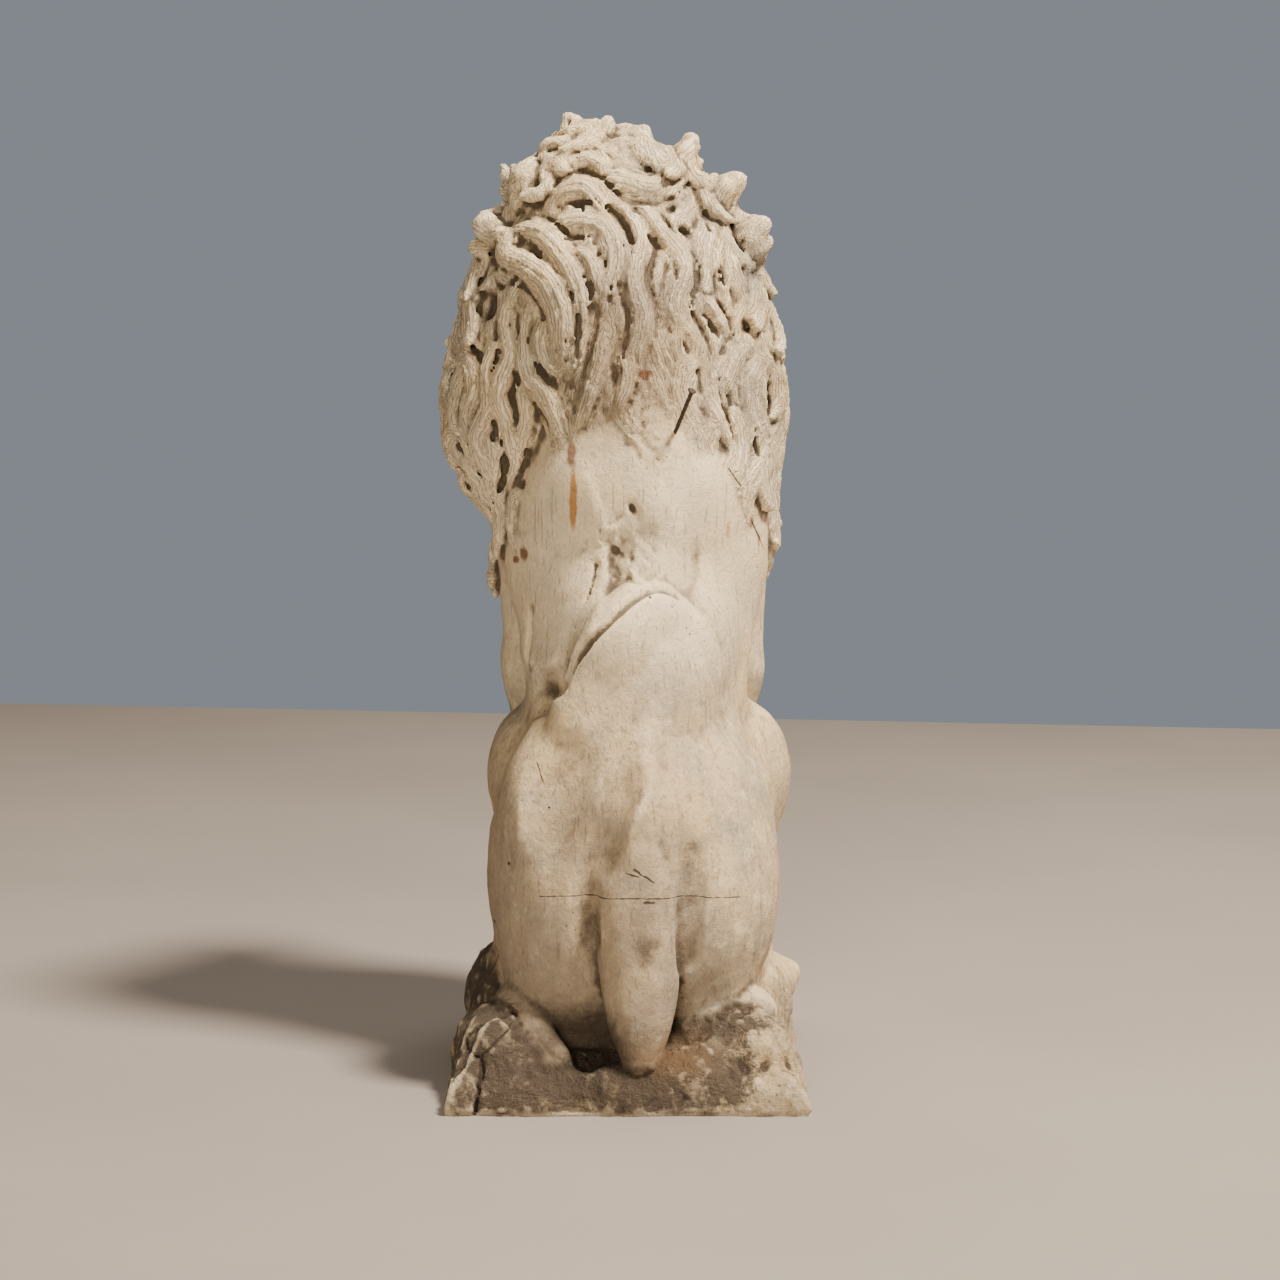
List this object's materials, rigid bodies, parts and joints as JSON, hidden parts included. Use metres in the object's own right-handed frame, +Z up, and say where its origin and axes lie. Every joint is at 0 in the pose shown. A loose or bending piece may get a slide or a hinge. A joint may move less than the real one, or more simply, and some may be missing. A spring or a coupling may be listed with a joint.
{
  "type": "seated lion sculpture",
  "caption": "Seated lion with a full curled mane on a low rocky base, cast in one piece, with a nail left in its nape.",
  "frame": {"origin": "on the floor, under the middle of the base", "axes": "+Z up; the lion looks along -Y and its left side is +X"},
  "size_m": [0.3978, 0.5828, 1.0005],
  "materials": {
    "plaster": "matt cream plaster with grey-brown patina, dirt in the recesses",
    "iron": "dark rusted wire nail"
  },
  "bodies": {
    "root": {"lion": "plaster", "nape_nail": "iron"}
  },
  "joints": []
}
